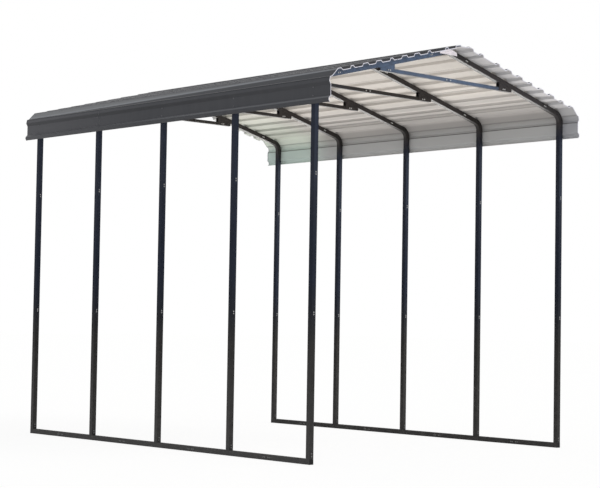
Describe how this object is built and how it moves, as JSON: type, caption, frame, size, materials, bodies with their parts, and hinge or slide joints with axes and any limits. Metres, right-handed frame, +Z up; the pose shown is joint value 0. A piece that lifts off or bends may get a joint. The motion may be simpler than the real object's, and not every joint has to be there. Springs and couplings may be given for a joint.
{
  "type": "carport",
  "caption": "Open gable carport: square-tube frames on side base rails carry a lengthwise-ribbed sheet roof with turned-down eaves, sheltering a vehicle.",
  "frame": {"origin": "on the ground, in the middle of the footprint", "axes": "+X across the width to the right, +Y from the front gable to the back along the ridge, +Z up"},
  "size_m": [4.2046, 5.62, 4.5858],
  "materials": {
    "frame_tube": "black powder coat, satin",
    "roof_sheet": "charcoal baked paint outside, pale warm grey primer inside",
    "fastener": "zinc plated hex heads"
  },
  "bodies": {
    "root": {"ridge_bends": "frame_tube", "left_base_rail_1": "frame_tube", "left_base_rail_2": "frame_tube", "left_base_rail_3": "frame_tube", "left_base_rail_4": "frame_tube", "left_base_rail_5": "frame_tube", "left_lower_posts": "frame_tube", "left_upper_posts": "frame_tube", "left_eave_bends": "frame_tube", "left_rafters": "frame_tube", "left_ties": "frame_tube", "left_gusset_plates": "frame_tube", "right_base_rail_1": "frame_tube", "right_base_rail_2": "frame_tube", "right_base_rail_3": "frame_tube", "right_base_rail_4": "frame_tube", "right_base_rail_5": "frame_tube", "right_lower_posts": "frame_tube", "right_upper_posts": "frame_tube", "right_eave_bends": "frame_tube", "right_rafters": "frame_tube", "right_ties": "frame_tube", "right_gusset_plates": "frame_tube", "front_ridge_cap": "roof_sheet", "left_front_upper_sheet": "roof_sheet", "left_front_lower_sheet": "roof_sheet", "left_front_eave_panel": "roof_sheet", "right_front_upper_sheet": "roof_sheet", "right_front_lower_sheet": "roof_sheet", "right_front_eave_panel": "roof_sheet", "middle_ridge_cap": "roof_sheet", "left_middle_upper_sheet": "roof_sheet", "left_middle_lower_sheet": "roof_sheet", "left_middle_eave_panel": "roof_sheet", "right_middle_upper_sheet": "roof_sheet", "right_middle_lower_sheet": "roof_sheet", "right_middle_eave_panel": "roof_sheet", "back_ridge_cap": "roof_sheet", "left_back_upper_sheet": "roof_sheet", "left_back_lower_sheet": "roof_sheet", "left_back_eave_panel": "roof_sheet", "right_back_upper_sheet": "roof_sheet", "right_back_lower_sheet": "roof_sheet", "right_back_eave_panel": "roof_sheet"}
  },
  "joints": []
}
